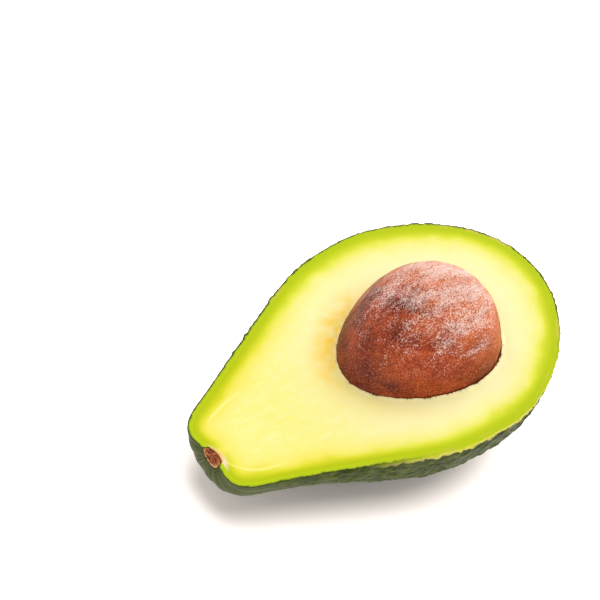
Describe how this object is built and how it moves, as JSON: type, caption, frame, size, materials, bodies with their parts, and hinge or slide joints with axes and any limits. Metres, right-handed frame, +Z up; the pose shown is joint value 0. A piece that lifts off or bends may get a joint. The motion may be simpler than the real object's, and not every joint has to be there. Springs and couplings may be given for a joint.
{
  "type": "avocado half",
  "caption": "Halved ripe avocado lying on its back, cut face up, with pebbled green skin, pale flesh, the brown seed in its hollow and the halved stem stub at the neck.",
  "frame": {"origin": "on the surface the half lies on, under the middle of its box", "axes": "+X from the stem end to the blossom end, +Z up; the cut face leans 10 degrees down towards the stem end"},
  "size_m": [0.1002, 0.0658, 0.0493],
  "materials": {
    "skin": "satin",
    "flesh": "satin",
    "seed": "satin",
    "stem_stub": "matte"
  },
  "bodies": {
    "root": {"skin": "skin", "flesh": "flesh", "seed": "seed", "stem_stub": "stem_stub"}
  },
  "joints": []
}
